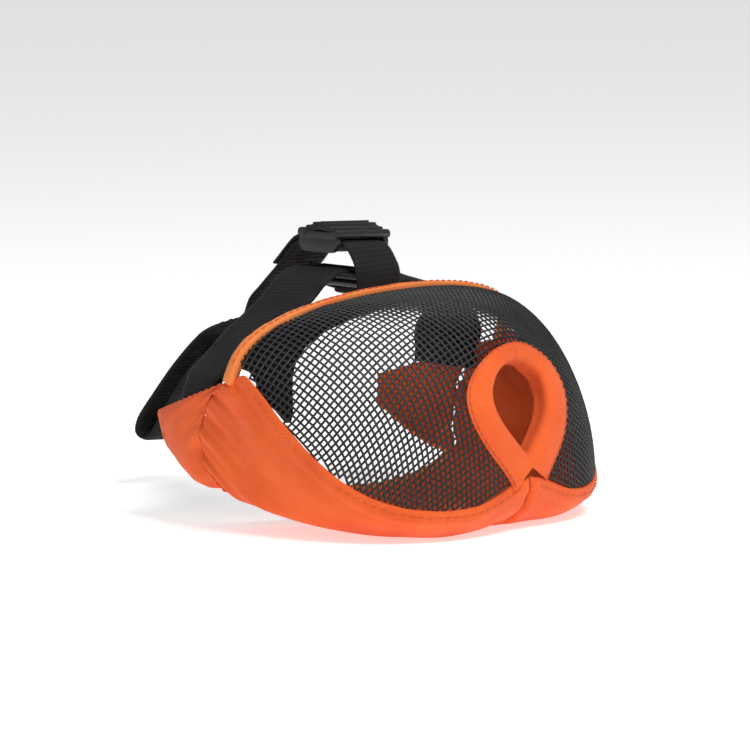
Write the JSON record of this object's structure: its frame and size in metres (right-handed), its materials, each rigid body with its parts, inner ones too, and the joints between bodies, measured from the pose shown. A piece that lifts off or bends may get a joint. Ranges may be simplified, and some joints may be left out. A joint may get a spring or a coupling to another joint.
{
  "type": "short-nose mesh dog muzzle",
  "caption": "Soft muzzle for short-nosed dogs: open mesh dome over a fabric chin cup, bound breathing hole, webbing straps, strap slider and side-release buckle.",
  "frame": {"origin": "centre of the part's bounding box in X and Y, at its lowest point, where the chin cup rests", "axes": "-Y out of the nose, +Z towards the top of the head, +X to the wearer's left"},
  "size_m": [0.13, 0.1497, 0.0889],
  "materials": {
    "orange_fabric": "matte woven polyester, orange",
    "black_mesh": "open square net of coated yarn, semi-matte black",
    "black_webbing": "ribbed flat webbing, matte black",
    "black_plastic": "moulded, satin black"
  },
  "bodies": {
    "muzzle": {"mesh_dome": "black_mesh", "rim_binding": "orange_fabric", "rim_webbing": "black_webbing", "chin_panel_right": "orange_fabric", "chin_panel_left": "orange_fabric", "chin_hem": "orange_fabric", "hole_binding_right": "orange_fabric", "hole_binding_left": "orange_fabric", "strap_tab_right": "orange_fabric", "strap_tab_left": "orange_fabric", "neck_strap_right": "black_webbing", "neck_strap_left": "black_webbing", "head_strap": "black_webbing", "buckle_socket": "black_plastic"},
    "slider": {"strap_slider": "black_plastic"},
    "plug": {"buckle_plug": "black_plastic"},
    "prong_front": {"buckle_prong_front": "black_plastic"},
    "prong_rear": {"buckle_prong_rear": "black_plastic"}
  },
  "joints": [
    {"name": "slider_travel", "type": "slide", "parent": "muzzle", "child": "slider", "axis": [0, 1, 0], "range_m": [-0.0025, 0.0025]},
    {"name": "plug_release", "type": "slide", "parent": "muzzle", "child": "plug", "axis": [-0.9613, 0, 0.2756], "range_m": [0, 0.004]},
    {"name": "prong_front_flex", "type": "hinge", "parent": "plug", "child": "prong_front", "pos_m": [0.01304, -0.00996, 0.06753], "axis": [0.2756, 0, 0.9613], "range_deg": [0, 7], "stiffness_Nm_per_rad": 0.02},
    {"name": "prong_rear_flex", "type": "hinge", "parent": "plug", "child": "prong_rear", "pos_m": [0.01304, 0.00744, 0.06753], "axis": [0.2756, 0, 0.9613], "range_deg": [-7, 0], "stiffness_Nm_per_rad": 0.02}
  ],
  "couplings": [
    {"joint": "prong_rear_flex", "follows": "prong_front_flex", "ratio": -1}
  ]
}
